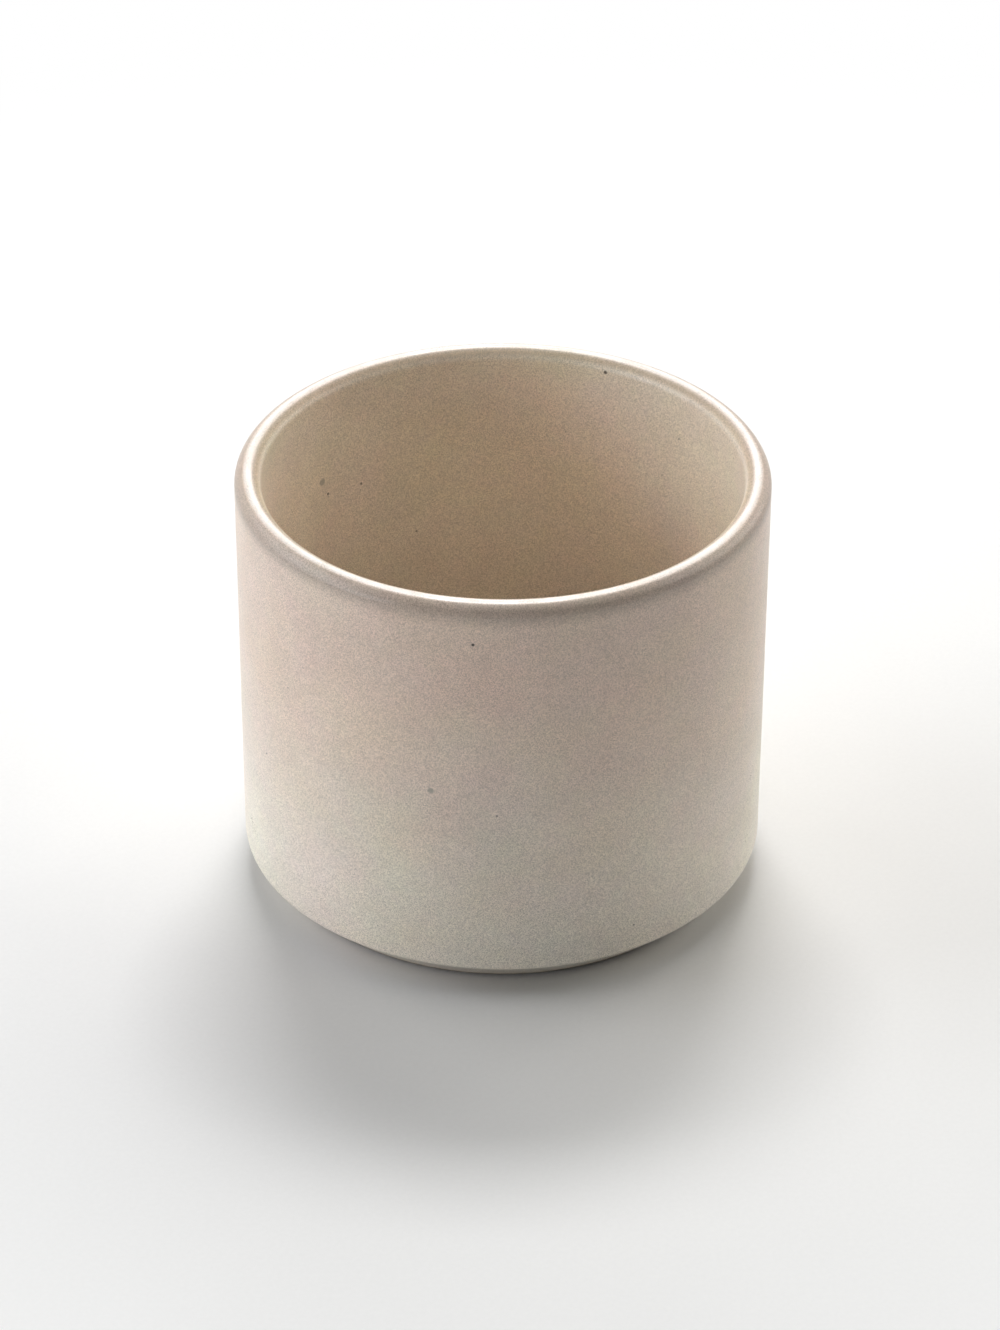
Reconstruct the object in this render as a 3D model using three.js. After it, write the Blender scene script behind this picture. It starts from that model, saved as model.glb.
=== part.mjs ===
// Desk cup for pens: a thick round ceramic vessel with a full-round rim and a
// bevelled lower edge, standing on a soft disc glued into a recess under its base.
// Millimetres, +Z up. The origin is at the centre of the base, on the desk.

import * as THREE from 'three';

// Outside of the cup
const OUTER_RADIUS = 45.0;
const HEIGHT = 77.0;
const WALL = 4.5;
const BEVEL_HEIGHT = 5.7;
const FOOT_RADIUS = 38.8;
const BEVEL_EDGE_RADIUS = 2.0;
const FOOT_EDGE_RADIUS = 0.5;

// Inside of the cup
const FLOOR_THICKNESS = 5.0;
const FLOOR_CORNER_RADIUS = 6.0;

// Recess under the base, and the disc that sits in it
const FOOT_RING_WIDTH = 4.0;
const RECESS_EDGE_RADIUS = 0.4;
const PAD_THICKNESS = 1.2;
const PAD_PROUD = 0.3;
const PAD_EDGE_RADIUS = 0.25;
const PAD_SIDE_CLEARANCE = 0.4;
const ADHESIVE_THICKNESS = 0.2;
const ADHESIVE_INSET = 1.0;

// Fineness of the round surfaces
const TURN_SEGMENTS = 96;
const RIM_STEPS = 14;
const CORNER_STEPS = 6;
const SMALL_EDGE_STEPS = 3;

// Places that follow from the sizes above
const FOOT_Z = PAD_PROUD;
const PAD_TOP_Z = PAD_THICKNESS;
const RECESS_TOP_Z = PAD_TOP_Z + ADHESIVE_THICKNESS;
const RECESS_RADIUS = FOOT_RADIUS - FOOT_RING_WIDTH;
const PAD_RADIUS = RECESS_RADIUS - PAD_SIDE_CLEARANCE;
const ADHESIVE_RADIUS = PAD_RADIUS - ADHESIVE_INSET;
const INNER_RADIUS = OUTER_RADIUS - WALL;
const INNER_FLOOR_Z = RECESS_TOP_Z + FLOOR_THICKNESS;
const RIM_RADIUS = WALL / 2;

const point = (radius, z) => new THREE.Vector2(radius, z);

// Points on an arc about (radius, z), from one angle to another, in radians.
function arc(centre, arcRadius, fromAngle, toAngle, steps) {
  const points = [];
  for (let i = 0; i <= steps; i += 1) {
    const angle = fromAngle + ((toAngle - fromAngle) * i) / steps;
    const radius = centre.x + arcRadius * Math.cos(angle);
    const z = centre.y + arcRadius * Math.sin(angle);
    points.push(point(radius, z));
  }
  return points;
}

// The corner at `corner` of the outline before -> corner -> after, rounded by an
// arc that touches both straight lines.
function roundedCorner(before, corner, after, edgeRadius, steps) {
  const toBefore = before.clone().sub(corner).normalize();
  const toAfter = after.clone().sub(corner).normalize();
  const halfAngle = Math.acos(toBefore.dot(toAfter)) / 2;
  const middle = toBefore.clone().add(toAfter).normalize();
  const centre = corner.clone().addScaledVector(middle, edgeRadius / Math.sin(halfAngle));
  const touch = edgeRadius / Math.tan(halfAngle);
  const start = corner.clone().addScaledVector(toBefore, touch).sub(centre);
  const end = corner.clone().addScaledVector(toAfter, touch).sub(centre);
  const turn = Math.atan2(start.cross(end), start.dot(end));
  return arc(centre, edgeRadius, start.angle(), start.angle() + turn, steps);
}

// A solid of revolution about +Z from an outline that starts and ends on the axis.
function turned(outline) {
  const geometry = new THREE.LatheGeometry(outline, TURN_SEGMENTS);
  geometry.rotateX(Math.PI / 2);
  return geometry;
}

function mesh(name, geometry, look) {
  const made = new THREE.Mesh(geometry, new THREE.MeshStandardMaterial(look));
  made.name = name;
  return made;
}

// The vessel in one casting: recessed base, foot ring, bevel, wall, rim, well.
function cupBody() {
  const recessCentre = point(0, RECESS_TOP_Z);
  const recessCorner = point(RECESS_RADIUS, RECESS_TOP_Z);
  const ringInside = point(RECESS_RADIUS, FOOT_Z);
  const ringOutside = point(FOOT_RADIUS, FOOT_Z);
  const bevelTop = point(OUTER_RADIUS, FOOT_Z + BEVEL_HEIGHT);
  const rimCentre = point(OUTER_RADIUS - RIM_RADIUS, HEIGHT - RIM_RADIUS);
  const wallTop = point(OUTER_RADIUS, rimCentre.y);
  const wellTop = point(INNER_RADIUS, rimCentre.y);
  const wellCorner = point(INNER_RADIUS, INNER_FLOOR_Z);
  const wellCentre = point(0, INNER_FLOOR_Z);
  return turned([
    recessCentre,
    recessCorner,
    ...roundedCorner(recessCorner, ringInside, ringOutside, RECESS_EDGE_RADIUS, SMALL_EDGE_STEPS),
    ...roundedCorner(ringInside, ringOutside, bevelTop, FOOT_EDGE_RADIUS, SMALL_EDGE_STEPS),
    ...roundedCorner(ringOutside, bevelTop, wallTop, BEVEL_EDGE_RADIUS, CORNER_STEPS),
    ...arc(rimCentre, RIM_RADIUS, 0, Math.PI, RIM_STEPS),
    ...roundedCorner(wellTop, wellCorner, wellCentre, FLOOR_CORNER_RADIUS, CORNER_STEPS),
    wellCentre,
  ]);
}

// The soft disc that carries the cup, a little proud of the foot ring.
function basePad() {
  const underCentre = point(0, 0);
  const underCorner = point(PAD_RADIUS, 0);
  const topCorner = point(PAD_RADIUS, PAD_TOP_Z);
  const topCentre = point(0, PAD_TOP_Z);
  return turned([
    underCentre,
    ...roundedCorner(underCentre, underCorner, topCorner, PAD_EDGE_RADIUS, SMALL_EDGE_STEPS),
    topCorner,
    topCentre,
  ]);
}

// The double-sided film between the disc and the recess.
function padAdhesive() {
  return turned([
    point(0, PAD_TOP_Z),
    point(ADHESIVE_RADIUS, PAD_TOP_Z),
    point(ADHESIVE_RADIUS, RECESS_TOP_Z),
    point(0, RECESS_TOP_Z),
  ]);
}

const CERAMIC = { color: 0xd9cec2, roughness: 0.8, metalness: 0.0 };
const RUBBER = { color: 0x2e2c2a, roughness: 0.9, metalness: 0.0 };
const ADHESIVE = { color: 0xe6e2d6, roughness: 0.5, metalness: 0.0 };

const cup = new THREE.Group();
cup.add(mesh('cup_body', cupBody(), CERAMIC));
cup.add(mesh('base_pad', basePad(), RUBBER));
cup.add(mesh('pad_adhesive', padAdhesive(), ADHESIVE));

export default cup;
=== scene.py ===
"""Looks of the ceramic pen cup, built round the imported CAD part. Metres, +Z up."""

import math

import bpy
from mathutils import Matrix, Vector, noise


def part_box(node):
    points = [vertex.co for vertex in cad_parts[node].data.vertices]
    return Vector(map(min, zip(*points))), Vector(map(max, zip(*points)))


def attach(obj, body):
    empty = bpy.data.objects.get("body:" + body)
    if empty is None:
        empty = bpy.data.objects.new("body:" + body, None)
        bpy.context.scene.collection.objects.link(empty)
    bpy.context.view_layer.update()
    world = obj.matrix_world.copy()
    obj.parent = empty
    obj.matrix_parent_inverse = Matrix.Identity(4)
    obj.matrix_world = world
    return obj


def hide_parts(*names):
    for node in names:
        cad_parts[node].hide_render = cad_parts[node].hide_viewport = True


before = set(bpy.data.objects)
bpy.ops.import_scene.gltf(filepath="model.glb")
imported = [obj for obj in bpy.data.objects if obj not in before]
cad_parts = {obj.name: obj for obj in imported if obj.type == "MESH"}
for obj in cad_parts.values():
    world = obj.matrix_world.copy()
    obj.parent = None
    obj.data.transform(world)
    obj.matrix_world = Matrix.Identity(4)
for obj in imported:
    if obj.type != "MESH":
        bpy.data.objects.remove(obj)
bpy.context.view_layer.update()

# ---------------------------------------------------------------- sizes

BODY_LOW, BODY_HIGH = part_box("cup_body")
PAD_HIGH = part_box("base_pad")[1]
FILM_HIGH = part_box("pad_adhesive")[1]

OUTER_RADIUS = BODY_HIGH.x
TOP_Z = BODY_HIGH.z
FOOT_Z = BODY_LOW.z
RECESS_TOP_Z = FILM_HIGH.z
PAD_RADIUS = PAD_HIGH.x
PAD_TOP_Z = PAD_HIGH.z

WALL = 0.0045
BEVEL_HEIGHT = 0.0057
FOOT_RADIUS = 0.0388
FOOT_RING_WIDTH = 0.004
BEVEL_EDGE_RADIUS = 0.002
FOOT_EDGE_RADIUS = 0.0005
RECESS_EDGE_RADIUS = 0.0004
FLOOR_THICKNESS = 0.005
FLOOR_CORNER_RADIUS = 0.006
PAD_EDGE_RADIUS = 0.00025
INNER_RADIUS = OUTER_RADIUS - WALL

TURN_SEGMENTS = 384
STRAIGHT_STEP = 0.0016
ARC_STEP = math.radians(5.0)
MIN_ARC_STEPS = 3

# How far the casting is from true, always inside the true shape. It is true under the
# foot, and the unevenness sets in over WAVE_FADE outside it.
WAVE_DEPTH = 0.00006
WAVE_LENGTH = 0.022
WAVE_FADE = 0.002

# ---------------------------------------------------------------- outlines


def along(start, end):
    """Points from start up to, but not including, end."""
    count = max(1, math.ceil((end - start).length / STRAIGHT_STEP))
    return [start.lerp(end, i / count) for i in range(count)]


def arc(centre, radius, start_angle, end_angle):
    """Points on an arc, both ends included."""
    count = max(MIN_ARC_STEPS, math.ceil(abs(end_angle - start_angle) / ARC_STEP))
    points = []
    for i in range(count + 1):
        angle = start_angle + (end_angle - start_angle) * i / count
        points.append(centre + radius * Vector((math.cos(angle), math.sin(angle))))
    return points


def rounded(before, corner, after, radius):
    """The arc that rounds a corner and touches both of its sides."""
    to_before = (before - corner).normalized()
    to_after = (after - corner).normalized()
    half = to_before.angle(to_after) / 2
    centre = corner + (to_before + to_after).normalized() * (radius / math.sin(half))
    touch = radius / math.tan(half)
    start = corner + to_before * touch - centre
    end = corner + to_after * touch - centre
    start_angle = math.atan2(start.y, start.x)
    turn = math.atan2(start.x * end.y - start.y * end.x, start.dot(end))
    return arc(centre, radius, start_angle, start_angle + turn)


def outline(*runs):
    """Joins arcs and single points into one outline, with steps on the straights."""
    points = []
    for run in runs:
        if points:
            points.extend(along(points.pop(), run[0]))
        points.extend(run)
    return points


def cup_outline():
    """Half section of the vessel, from the recess's centre round to the well's centre."""
    recess_radius = FOOT_RADIUS - FOOT_RING_WIDTH
    rim_radius = WALL / 2
    recess_centre = Vector((0, RECESS_TOP_Z))
    recess_corner = Vector((recess_radius, RECESS_TOP_Z))
    ring_inside = Vector((recess_radius, FOOT_Z))
    ring_outside = Vector((FOOT_RADIUS, FOOT_Z))
    bevel_top = Vector((OUTER_RADIUS, FOOT_Z + BEVEL_HEIGHT))
    rim_centre = Vector((OUTER_RADIUS - rim_radius, TOP_Z - rim_radius))
    wall_top = Vector((OUTER_RADIUS, rim_centre.y))
    well_top = Vector((INNER_RADIUS, rim_centre.y))
    well_corner = Vector((INNER_RADIUS, RECESS_TOP_Z + FLOOR_THICKNESS))
    well_centre = Vector((0, well_corner.y))
    return outline(
        [recess_centre],
        [recess_corner],
        rounded(recess_corner, ring_inside, ring_outside, RECESS_EDGE_RADIUS),
        rounded(ring_inside, ring_outside, bevel_top, FOOT_EDGE_RADIUS),
        rounded(ring_outside, bevel_top, wall_top, BEVEL_EDGE_RADIUS),
        arc(rim_centre, rim_radius, 0, math.pi),
        rounded(well_top, well_corner, well_centre, FLOOR_CORNER_RADIUS),
        [well_centre],
    )


def pad_outline():
    """Half section of the disc, from its underside's centre out and back over its top."""
    under_centre = Vector((0, 0))
    under_corner = Vector((PAD_RADIUS, 0))
    top_corner = Vector((PAD_RADIUS, PAD_TOP_Z))
    return outline(
        [under_centre],
        rounded(under_centre, under_corner, top_corner, PAD_EDGE_RADIUS),
        [top_corner],
        [Vector((0, PAD_TOP_Z))],
    )


# ---------------------------------------------------------------- meshes


def ring_of_places(points, index, offset):
    """The vertices of one point of the outline: one on the axis, or a ring round it."""
    last = len(points) - 1
    point = points[index]
    run = (points[min(index + 1, last)] - points[max(index - 1, 0)]).normalized()
    places = []
    for step in range(1 if index in (0, last) else TURN_SEGMENTS):
        angle = 2 * math.pi * step / TURN_SEGMENTS
        outward = Vector((math.cos(angle), math.sin(angle), 0))
        place = outward * point.x + Vector((0, 0, point.y))
        normal = (outward * run.y - Vector((0, 0, run.x))).normalized()
        if offset:
            place = place + normal * offset(place)
        places.append(place)
    return places


def faces_between(low, high):
    """Quads between two rings of vertex numbers, or triangles where one is a single point."""
    faces = []
    for step in range(TURN_SEGMENTS):
        after = (step + 1) % TURN_SEGMENTS
        if len(low) == 1:
            faces.append((low[0], high[after], high[step]))
        elif len(high) == 1:
            faces.append((low[step], low[after], high[0]))
        else:
            faces.append((low[step], low[after], high[after], high[step]))
    return faces


def turned(name, points, offset=None):
    """A closed solid of revolution. offset(place) moves each vertex along its normal."""
    vertices = []
    rings = []
    for index in range(len(points)):
        places = ring_of_places(points, index, offset)
        rings.append(range(len(vertices), len(vertices) + len(places)))
        vertices.extend(places)
    faces = []
    for low, high in zip(rings, rings[1:]):
        faces.extend(faces_between(low, high))
    mesh = bpy.data.meshes.new(name)
    mesh.from_pydata([tuple(v) for v in vertices], [], faces)
    mesh.polygons.foreach_set("use_smooth", [True] * len(mesh.polygons))
    mesh.update()
    piece = bpy.data.objects.new(name, mesh)
    bpy.context.scene.collection.objects.link(piece)
    return piece


def hand_wave(place):
    """Offset of the cast surface from its true shape at a place, zero or negative."""
    depth = WAVE_DEPTH
    if place.z < FOOT_Z + BEVEL_HEIGHT / 2:
        beyond_foot = (place.xy.length - FOOT_RADIUS) / WAVE_FADE
        depth *= min(max(beyond_foot, 0.0), 1.0)
    return -depth * (0.5 + 0.5 * noise.noise(place / WAVE_LENGTH))


# ---------------------------------------------------------------- materials

# Noise detail of a wandering tint, and the share of a dot's radius at its full strength.
TINT_DETAIL = 1.0
DOT_CORE = 0.5

# Colour inputs and output of a Mix node, whose names its number sockets share
MIX_COLOURS = (6, 7)
MIX_RESULT = 2


class Shader:
    """One node material: its nodes, links and Principled shader. Sizes are in metres."""

    def __init__(self, name):
        self.material = bpy.data.materials.new(name)
        self.material.use_nodes = True
        self.tree = self.material.node_tree
        self.surface = self.tree.nodes["Principled BSDF"]
        self.place = self.node("ShaderNodeTexCoord").outputs["Object"]

    def node(self, kind, **settings):
        made = self.tree.nodes.new(kind)
        for key, value in settings.items():
            setattr(made, key, value)
        return made

    def link(self, source, target):
        self.tree.links.new(source, target)

    def feed(self, socket, value):
        """Links a socket to the input, or sets the input to a number or colour."""
        if isinstance(value, bpy.types.NodeSocket):
            self.link(value, socket)
        else:
            socket.default_value = value

    def texture(self, size, detail, seed):
        """Soft noise whose blobs are about one size across."""
        made = self.node("ShaderNodeTexNoise", noise_dimensions="4D")
        self.link(self.place, made.inputs["Vector"])
        made.inputs["W"].default_value = seed
        made.inputs["Scale"].default_value = 1.0 / size
        made.inputs["Detail"].default_value = detail
        return made

    def noise(self, size, detail=2.0, seed=0.0):
        return self.texture(size, detail, seed).outputs["Fac"]

    def tinted(self, colour, size, amount, seed):
        """The colour, with red, green and blue each wandering on their own."""
        wander = self.node("ShaderNodeVectorMath", operation="MULTIPLY_ADD")
        self.link(self.texture(size, TINT_DETAIL, seed).outputs["Color"], wander.inputs[0])
        wander.inputs[1].default_value = [amount] * 3
        wander.inputs[2].default_value = [1 - amount / 2] * 3
        return self.mixed(1.0, colour, wander.outputs[0], "MULTIPLY")

    def shaded(self, colour, value):
        """The colour made darker or lighter by a value round 1."""
        made = self.node("ShaderNodeVectorMath", operation="SCALE")
        self.feed(made.inputs[0], colour)
        self.feed(made.inputs["Scale"], value)
        return made.outputs[0]

    def dots(self, spacing, radius):
        """1 on small round dots scattered through space, 0 between them."""
        made = self.node("ShaderNodeTexVoronoi", feature="F1")
        self.link(self.place, made.inputs["Vector"])
        made.inputs["Scale"].default_value = 1.0 / spacing
        edge = radius / spacing
        return self.ranged(made.outputs["Distance"], edge * DOT_CORE, edge, 1.0, 0.0)

    def ranged(self, value, low, high, to_low=0.0, to_high=1.0):
        """The value taken smoothly from low..high to to_low..to_high, and held beyond them."""
        made = self.node("ShaderNodeMapRange", interpolation_type="SMOOTHSTEP")
        for name, number in zip(
            ("Value", "From Min", "From Max", "To Min", "To Max"),
            (value, low, high, to_low, to_high),
        ):
            self.feed(made.inputs[name], number)
        return made.outputs["Result"]

    def maths(self, operation, *values):
        """One Math node on sockets or numbers."""
        made = self.node("ShaderNodeMath", operation=operation)
        for socket, value in zip(made.inputs, values):
            self.feed(socket, value)
        return made.outputs[0]

    def between(self, factor, first, second):
        """first where the factor is 0, second where it is 1."""
        return self.ranged(factor, 0.0, 1.0, first, second)

    def mixed(self, factor, first, second, blend="MIX"):
        made = self.node("ShaderNodeMix", data_type="RGBA", blend_type=blend)
        self.feed(made.inputs["Factor"], factor)
        for index, value in zip(MIX_COLOURS, (first, second)):
            linked = isinstance(value, bpy.types.NodeSocket)
            self.feed(made.inputs[index], value if linked else (*value, 1))
        return made.outputs[MIX_RESULT]

    def height(self):
        apart = self.node("ShaderNodeSeparateXYZ")
        self.link(self.place, apart.inputs[0])
        return apart.outputs["Z"]

    def radius(self):
        """Distance from the cup's axis."""
        flat = self.node("ShaderNodeVectorMath", operation="MULTIPLY")
        self.link(self.place, flat.inputs[0])
        flat.inputs[1].default_value = (1, 1, 0)
        away = self.node("ShaderNodeVectorMath", operation="LENGTH")
        self.link(flat.outputs[0], away.inputs[0])
        return away.outputs["Value"]

    def near(self, spot, radius):
        """1 at a spot on the object, falling to 0 at the radius."""
        away = self.node("ShaderNodeVectorMath", operation="DISTANCE")
        self.link(self.place, away.inputs[0])
        away.inputs[1].default_value = spot
        return self.ranged(away.outputs["Value"], radius * DOT_CORE, radius, 1.0, 0.0)

    def bump(self, height, depth, below=None):
        """A normal for a relief of the depth, laid over another normal."""
        made = self.node("ShaderNodeBump")
        made.inputs["Strength"].default_value = 1.0
        made.inputs["Distance"].default_value = depth
        self.link(height, made.inputs["Height"])
        if below:
            self.link(below, made.inputs["Normal"])
        return made.outputs["Normal"]


# Glaze
OUTSIDE_COLOUR = (0.725, 0.578, 0.478)
# Painted light: the wall paler near the foot, standing in for light bounced up from the floor
FLOOR_BOUNCE_COLOUR = (0.825, 0.755, 0.645)
INSIDE_COLOUR = (0.80, 0.70, 0.58)
BOUNCE_LIGHT_FROM_Z = FOOT_Z + 0.062
BOUNCE_LIGHT_FULL_Z = FOOT_Z + 0.003
# Painted shade on the bevel, which faces down towards the floor
BEVEL_SHADE = 0.64
BEVEL_BLEND = 0.0012
# Painted shade in the well: darker towards its floor, lighter near the rim
WELL_LOW_SHADE, WELL_HIGH_SHADE = 0.78, 1.1
WELL_SHADE_FROM_RIM = 0.006

# Bands of painted shade on both sides of the crest. Depths below the top: a band begins at
# FROM and is full at TO, and both end over the crest.
RIM_SHADE_OUTSIDE = (0.68, 0.68, 0.68)
RIM_SHADE_INSIDE = (0.60, 0.53, 0.43)
SHADE_OUTSIDE_FROM, SHADE_OUTSIDE_TO = 0.0045, 0.0015
SHADE_INSIDE_FROM, SHADE_INSIDE_TO = 0.0014, 0.0004
CREST_FROM, CREST_TO = 0.0003, 0.00004

# The crest of the rim, paler as painted highlight and wear and smoother, by depth below the
# top
CREST_SHEEN_AND_WEAR_COLOUR = (0.90, 0.86, 0.81)
CREST_SHEEN_FROM, CREST_SHEEN_TO = 0.0002, 0.00002

# The unglazed foot ring, by height above it, darkened as painted contact shadow under the cup
FOOT_RING_AND_CONTACT_SHADE_COLOUR = (0.27, 0.22, 0.18)
FOOT_SHADE_FULL, FOOT_SHADE_END = 0.0005, 0.0009

# Mottling, as size, amount and seed
MOTTLES = ((0.016, 0.11, 1.0), (0.003, 0.05, 2.0))
CLOUD_SIZE = 0.009
GRAIN_SIZE = 0.00014
WEAR_SIZE = 0.004

# Dots, as spacing and radius
PINHOLES = (0.0042, 0.00016)
SPECKS = (0.011, 0.00026)
IRON_COLOUR = (0.045, 0.035, 0.03)
SMUDGE_COLOUR = (0.30, 0.29, 0.24)

# Depths of the relief
ORANGE_PEEL_SIZE, ORANGE_PEEL_DEPTH = 0.0025, 0.00003
GRAIN_DEPTH = 0.000006

# Marks on this cup: wall radius, turn in degrees (0 the camera's side, 90 +X), height,
# size, how strong, colour.
MARKS = (
    (OUTER_RADIUS, -6, 0.070, 0.00034, 1.0, IRON_COLOUR),
    (OUTER_RADIUS, -1, 0.037, 0.00028, 0.6, IRON_COLOUR),
    (OUTER_RADIUS, -15, 0.041, 0.00070, 0.65, SMUDGE_COLOUR),
    (INNER_RADIUS, -129, 0.059, 0.00085, 0.6, SMUDGE_COLOUR),
    (INNER_RADIUS, -131, 0.056, 0.00032, 0.9, IRON_COLOUR),
    (INNER_RADIUS, -142, 0.055, 0.00032, 0.8, IRON_COLOUR),
    (INNER_RADIUS, 154, 0.075, 0.00042, 0.9, IRON_COLOUR),
)


def on_wall(wall_radius, turn, height):
    """The place on a round wall at a turn from the camera's side."""
    angle = math.radians(turn)
    return (wall_radius * math.sin(angle), -wall_radius * math.cos(angle), height)


def glaze_colour(made, height, inside, grain):
    """Paler towards the foot as painted light bounced up from the floor, darker on the bevel
    and deeper in the well as painted shade.
    """
    bounce_fade = made.ranged(height, BOUNCE_LIGHT_FULL_Z, BOUNCE_LIGHT_FROM_Z)
    colour = made.mixed(bounce_fade, FLOOR_BOUNCE_COLOUR, OUTSIDE_COLOUR)
    colour = made.mixed(inside, colour, INSIDE_COLOUR)
    bevel_top = FOOT_Z + BEVEL_HEIGHT
    # painted shade on the downward-facing bevel
    painted_bevel_shade = made.ranged(height, bevel_top - BEVEL_BLEND, bevel_top, BEVEL_SHADE, 1.0)
    # painted shade, darker deeper in the well
    well_shade = made.ranged(
        height,
        RECESS_TOP_Z + FLOOR_THICKNESS,
        TOP_Z - WELL_SHADE_FROM_RIM,
        WELL_LOW_SHADE,
        WELL_HIGH_SHADE,
    )
    colour = made.shaded(colour, made.between(inside, painted_bevel_shade, well_shade))
    for size, amount, seed in MOTTLES:
        colour = made.tinted(colour, size, amount, seed)
    cloud = made.noise(CLOUD_SIZE, detail=4.0, seed=5.0)
    colour = made.shaded(colour, made.ranged(cloud, 0.2, 0.8, 0.96, 1.04))
    return made.shaded(colour, made.ranged(grain, 0.2, 0.8, 0.72, 1.28))


def rim_shade_bands(made, height, inside):
    """1 on the two bands of painted shade beside the crest of the rim."""
    crest_free = made.ranged(height, TOP_Z - CREST_FROM, TOP_Z - CREST_TO, 1.0, 0.0)
    outer = made.ranged(height, TOP_Z - SHADE_OUTSIDE_FROM, TOP_Z - SHADE_OUTSIDE_TO)
    inner = made.ranged(height, TOP_Z - SHADE_INSIDE_FROM, TOP_Z - SHADE_INSIDE_TO)
    return made.maths("MULTIPLY", made.between(inside, outer, inner), crest_free)


def crest_sheen_and_wear(made, height):
    """How far the crest is painted paler as highlight and polished wear, in patches."""
    wear = made.noise(WEAR_SIZE, detail=3.0, seed=6.0)
    at_rim = made.ranged(height, TOP_Z - CREST_SHEEN_FROM, TOP_Z - CREST_SHEEN_TO)
    return made.maths("MULTIPLY", at_rim, made.ranged(wear, 0.35, 0.65, 0.5, 0.9))


def marked(made, colour, pinholes):
    """The colour with painted shade in its pinholes, scattered iron specks and this cup's own
    marks.
    """
    # painted shade in the pinholes: half as bright inside them
    pinhole_shade = made.maths("SUBTRACT", 1.0, made.maths("MULTIPLY", pinholes, 0.5))
    colour = made.shaded(colour, pinhole_shade)
    specks = made.dots(*SPECKS)
    colour = made.mixed(made.maths("MULTIPLY", specks, 0.7), colour, IRON_COLOUR)
    for wall_radius, turn, height, size, strength, mark_colour in MARKS:
        spot = on_wall(wall_radius, turn, height)
        mark = made.maths("MULTIPLY", made.near(spot, size), strength)
        colour = made.mixed(mark, colour, mark_colour)
    return colour


def glaze_roughness(made, grain, raw_clay_and_shade, inner_shade_band, sheen_and_wear):
    """Satin glaze in patches, rougher on raw clay and on the inner band of painted rim shade,
    smoother on the worn crest.
    """
    patchy = made.ranged(made.noise(0.006, detail=4.0, seed=7.0), 0.3, 0.7, 0.30, 0.38)
    rough = made.maths("ADD", patchy, made.ranged(grain, 0.3, 0.7, -0.03, 0.03))
    rough = made.maths("ADD", rough, made.maths("MULTIPLY", raw_clay_and_shade, 0.4))
    rough = made.maths("ADD", rough, made.maths("MULTIPLY", inner_shade_band, 0.4))
    return made.maths("SUBTRACT", rough, made.maths("MULTIPLY", sheen_and_wear, 0.1))


def cup_ceramic():
    made = Shader("cup_ceramic")
    surface = made.surface
    height = made.height()
    inside = made.ranged(made.radius(), INNER_RADIUS, OUTER_RADIUS - WALL / 2, 1.0, 0.0)
    grain = made.noise(GRAIN_SIZE, detail=0.0, seed=4.0)
    rim_shade = rim_shade_bands(made, height, inside)
    sheen_and_wear = crest_sheen_and_wear(made, height)
    raw_clay_and_shade = made.ranged(height, FOOT_Z + FOOT_SHADE_FULL, FOOT_Z + FOOT_SHADE_END, 1.0, 0.0)
    pinholes = made.dots(*PINHOLES)

    colour = glaze_colour(made, height, inside, grain)
    rim_shade_tint = made.mixed(inside, RIM_SHADE_OUTSIDE, RIM_SHADE_INSIDE)
    # painted shade on the rim's bands beside the crest
    colour = made.mixed(rim_shade, colour, rim_shade_tint, "MULTIPLY")
    # painted highlight and wear: the crest paler along its top
    colour = made.mixed(sheen_and_wear, colour, CREST_SHEEN_AND_WEAR_COLOUR)
    # painted contact shadow: the foot ring darkened where the cup meets the floor
    colour = made.mixed(raw_clay_and_shade, colour, FOOT_RING_AND_CONTACT_SHADE_COLOUR)
    made.link(marked(made, colour, pinholes), surface.inputs["Base Color"])

    inner_shade_band = made.maths("MULTIPLY", rim_shade, inside)
    rough = glaze_roughness(made, grain, raw_clay_and_shade, inner_shade_band, sheen_and_wear)
    made.link(rough, surface.inputs["Roughness"])

    hollows = made.maths("SUBTRACT", grain, pinholes)
    peel = made.noise(ORANGE_PEEL_SIZE, detail=2.0, seed=8.0)
    bumped = made.bump(peel, ORANGE_PEEL_DEPTH)
    made.link(made.bump(hollows, GRAIN_DEPTH, bumped), surface.inputs["Normal"])
    return made.material


RUBBER_COLOUR = (0.042, 0.040, 0.038)
DUST_COLOUR = (0.16, 0.15, 0.135)
FILM_COLOUR = (0.78, 0.75, 0.68)


def pad_rubber():
    made = Shader("pad_rubber")
    surface = made.surface
    dust = made.ranged(made.noise(0.007, detail=5.0, seed=11.0), 0.45, 0.7)
    grain = made.noise(0.0004, detail=2.0, seed=12.0)
    colour = made.mixed(made.maths("MULTIPLY", dust, 0.35), RUBBER_COLOUR, DUST_COLOUR)
    colour = made.shaded(colour, made.ranged(grain, 0.25, 0.75, 0.7, 1.3))
    made.link(colour, surface.inputs["Base Color"])
    rough = made.ranged(grain, 0.3, 0.7, 0.68, 0.8)
    rough = made.maths("ADD", rough, made.maths("MULTIPLY", dust, 0.12))
    made.link(rough, surface.inputs["Roughness"])
    bumped = made.bump(made.noise(0.002, detail=3.0, seed=13.0), 0.00003)
    made.link(made.bump(grain, 0.00002, bumped), surface.inputs["Normal"])
    return made.material


def adhesive_film():
    made = Shader("adhesive_film")
    surface = made.surface
    fibres = made.noise(0.0006, detail=4.0, seed=21.0)
    colour = made.tinted(FILM_COLOUR, 0.005, 0.12, seed=22.0)
    colour = made.shaded(colour, made.ranged(fibres, 0.3, 0.7, 0.92, 1.06))
    made.link(colour, surface.inputs["Base Color"])
    made.link(made.ranged(fibres, 0.3, 0.7, 0.42, 0.6), surface.inputs["Roughness"])
    made.link(made.bump(fibres, 0.00002), surface.inputs["Normal"])
    return made.material


# ---------------------------------------------------------------- pieces


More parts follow.
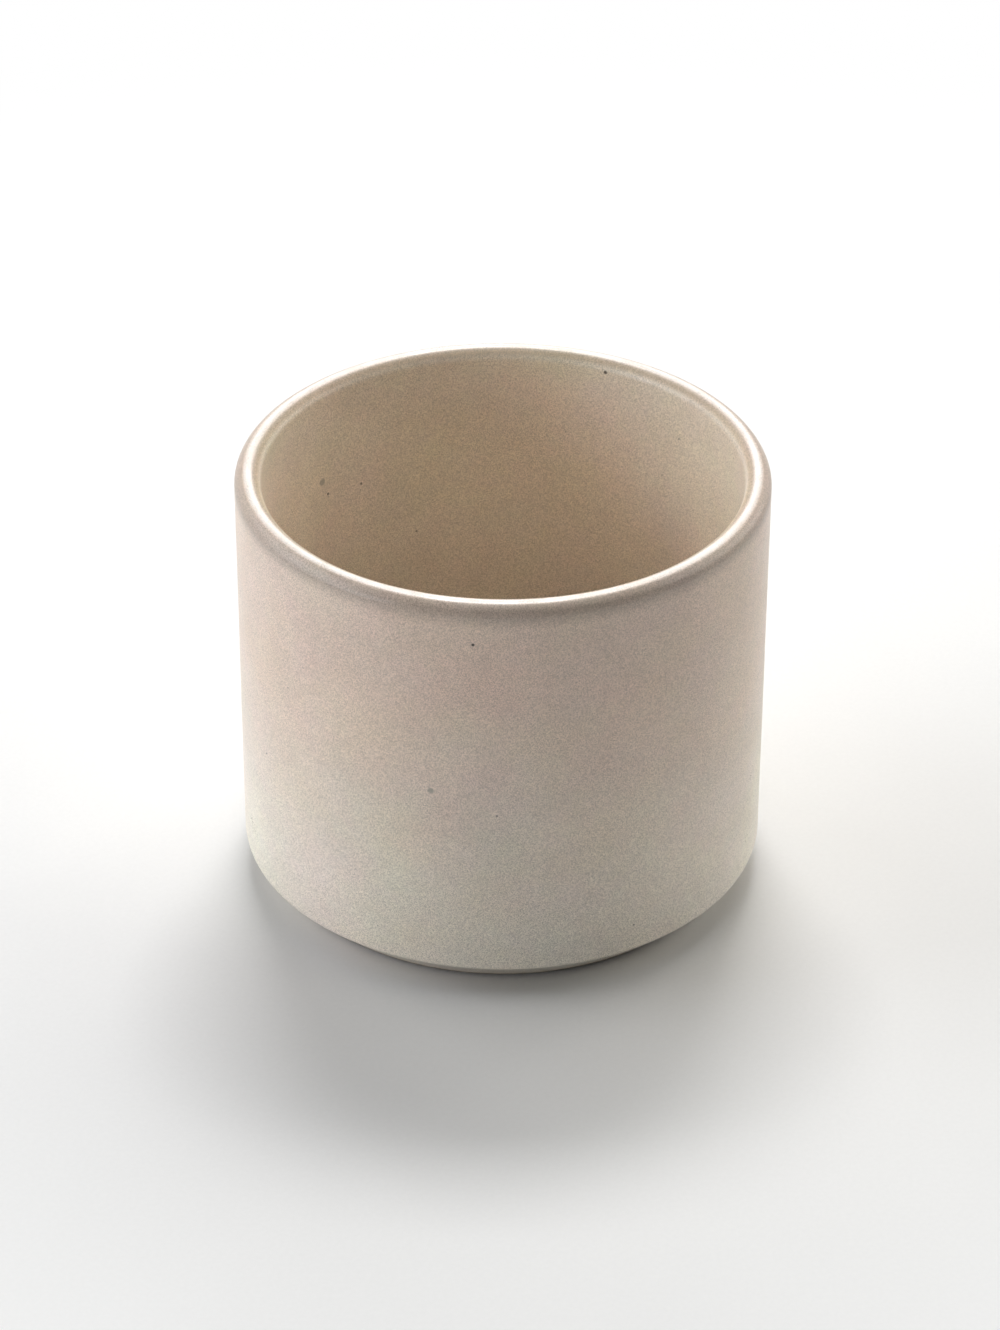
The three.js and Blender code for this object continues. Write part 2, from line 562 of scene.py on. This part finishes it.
def stand_for(piece, node, material):
    piece.data.materials.append(material)
    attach(piece, "root")
    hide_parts(node)


cup_shell = turned("cup_shell", cup_outline(), hand_wave)
stand_for(cup_shell, "cup_body", cup_ceramic())

pad_disc = turned("pad_disc", pad_outline())
stand_for(pad_disc, "base_pad", pad_rubber())

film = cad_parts["pad_adhesive"]
film.data.materials.clear()
film.data.materials.append(adhesive_film())

# ---------------------------------------------------------------- camera

VIEW_ELEVATION = math.radians(32.69)
VIEW_ROLL = math.radians(0.23)
VIEW_DISTANCE = 0.7656
VIEW_AIM_HEIGHT = 0.036
LENS_MM = 120.3
SENSOR_MM = 36.0
SHIFT_X = -0.0017
SHIFT_Y = 0.006
CLIP_START = 0.01
CLIP_END = 20.0


def studio_camera():
    data = bpy.data.cameras.new("camera")
    data.lens = LENS_MM
    data.sensor_width = SENSOR_MM
    data.shift_x = SHIFT_X
    data.shift_y = SHIFT_Y
    data.clip_start = CLIP_START
    data.clip_end = CLIP_END
    camera = bpy.data.objects.new("camera", data)
    bpy.context.scene.collection.objects.link(camera)
    back = Vector((0, -math.cos(VIEW_ELEVATION), math.sin(VIEW_ELEVATION)))
    turn = (-back).to_track_quat("-Z", "Y").to_matrix().to_4x4()
    place = Vector((0, 0, VIEW_AIM_HEIGHT)) + back * VIEW_DISTANCE
    camera.matrix_world = Matrix.Translation(place) @ turn @ Matrix.Rotation(VIEW_ROLL, 4, "Z")
    bpy.context.scene.camera = camera


studio_camera()

# ---------------------------------------------------------------- studio

LAMP_DISTANCE = 1.3
PLAIN = (1.0, 1.0, 1.0)
COOL = (0.97, 1.0, 1.03)
WARM = (1.02, 1.0, 0.93)
STRIP = (0.5, 0.3)
SQUARE = (0.62, 0.62)

# name, azimuth and elevation in degrees, size, power, tint
LAMPS = (
    ("back_high", 180, 60, STRIP, 8.4, PLAIN),
    ("back_low", 180, 28, STRIP, 2.4, PLAIN),
    ("left_back", -120, 35, SQUARE, 2.15, COOL),
    ("left_high", -90, 35, SQUARE, 3.4, COOL),
    ("left_low", -90, 12, SQUARE, 2.6, COOL),
    ("left_front", -60, 12, SQUARE, 3.5, COOL),
    ("right_back", 120, 22, SQUARE, 3.0, WARM),
    ("right_high", 90, 35, SQUARE, 2.0, WARM),
    ("right_top", 150, 50, SQUARE, 3.3, WARM),
    ("top", 0, 88, SQUARE, 0.9, PLAIN),
)

FLOOR_SIZE = 3.0
FLOOR_COLOUR = (0.87, 0.87, 0.87)

# Distances from the cup over which the floor fades to pure white
FADE_START = 0.08
FADE_END = 0.34


def floor_paper():
    """Pale paper that fades to pure white for direct rays, as a studio sweep does."""
    made = Shader("floor_paper")
    surface = made.surface
    fibres = made.noise(0.0008, detail=3.0, seed=31.0)
    clouds = made.noise(0.05, detail=3.0, seed=32.0)
    colour = made.shaded(FLOOR_COLOUR, made.ranged(fibres, 0.3, 0.7, 0.99, 1.01))
    colour = made.shaded(colour, made.ranged(clouds, 0.3, 0.7, 0.995, 1.005))
    made.link(colour, surface.inputs["Base Color"])
    made.link(made.ranged(fibres, 0.3, 0.7, 0.85, 0.95), surface.inputs["Roughness"])
    made.link(made.bump(fibres, 0.00001), surface.inputs["Normal"])
    away = made.node("ShaderNodeVectorMath", operation="LENGTH")
    made.link(made.place, away.inputs[0])
    faded = made.ranged(away.outputs["Value"], FADE_START, FADE_END)
    seen = made.maths("MULTIPLY", faded, seen_directly(made.tree))
    white = made.node("ShaderNodeEmission")
    blend = made.node("ShaderNodeMixShader")
    for source, socket in zip((seen, surface.outputs[0], white.outputs[0]), blend.inputs):
        made.link(source, socket)
    made.link(blend.outputs[0], made.tree.nodes["Material Output"].inputs["Surface"])
    return made.material


def floor():
    mesh = bpy.data.meshes.new("floor")
    corners = [
        (-FLOOR_SIZE, -FLOOR_SIZE, 0),
        (FLOOR_SIZE, -FLOOR_SIZE, 0),
        (FLOOR_SIZE, FLOOR_SIZE, 0),
        (-FLOOR_SIZE, FLOOR_SIZE, 0),
    ]
    mesh.from_pydata(corners, [], [(0, 1, 2, 3)])
    mesh.materials.append(floor_paper())
    sheet = bpy.data.objects.new("floor", mesh)
    bpy.context.scene.collection.objects.link(sheet)


def seen_directly(tree):
    """1 for a ray from the camera, a mirror-like reflection or a look through glass."""
    path = tree.nodes.new("ShaderNodeLightPath")
    total = path.outputs["Is Camera Ray"]
    for name in ("Is Glossy Ray", "Is Transmission Ray"):
        either = tree.nodes.new("ShaderNodeMath")
        either.operation = "MAXIMUM"
        tree.links.new(total, either.inputs[0])
        tree.links.new(path.outputs[name], either.inputs[1])
        total = either.outputs[0]
    return total


def backdrop():
    """White behind everything, without adding light."""
    world = bpy.data.worlds.new("studio")
    world.use_nodes = True
    background = world.node_tree.nodes["Background"]
    background.inputs["Color"].default_value = (1, 1, 1, 1)
    world.node_tree.links.new(seen_directly(world.node_tree), background.inputs["Strength"])
    bpy.context.scene.world = world


def lamp(name, azimuth, elevation, size, power, tint):
    """A soft box aimed at the cup. Azimuth 0 is the camera's side, 90 is +X."""
    data = bpy.data.lights.new(name, "AREA")
    data.shape = "RECTANGLE"
    data.size, data.size_y = size
    data.energy = power
    data.color = tint
    light = bpy.data.objects.new(name, data)
    bpy.context.scene.collection.objects.link(light)
    turn = math.radians(azimuth)
    rise = math.radians(elevation)
    level = math.cos(rise)
    way = Vector((math.sin(turn) * level, -math.cos(turn) * level, math.sin(rise)))
    light.rotation_mode = "QUATERNION"
    light.rotation_quaternion = way.to_track_quat("Z", "Y")
    light.location = way * LAMP_DISTANCE


def studio():
    floor()
    for name, azimuth, elevation, size, power, tint in LAMPS:
        lamp(name, azimuth, elevation, size, power, tint)
    backdrop()


studio()

scene = bpy.context.scene
scene.view_settings.view_transform = "Standard"
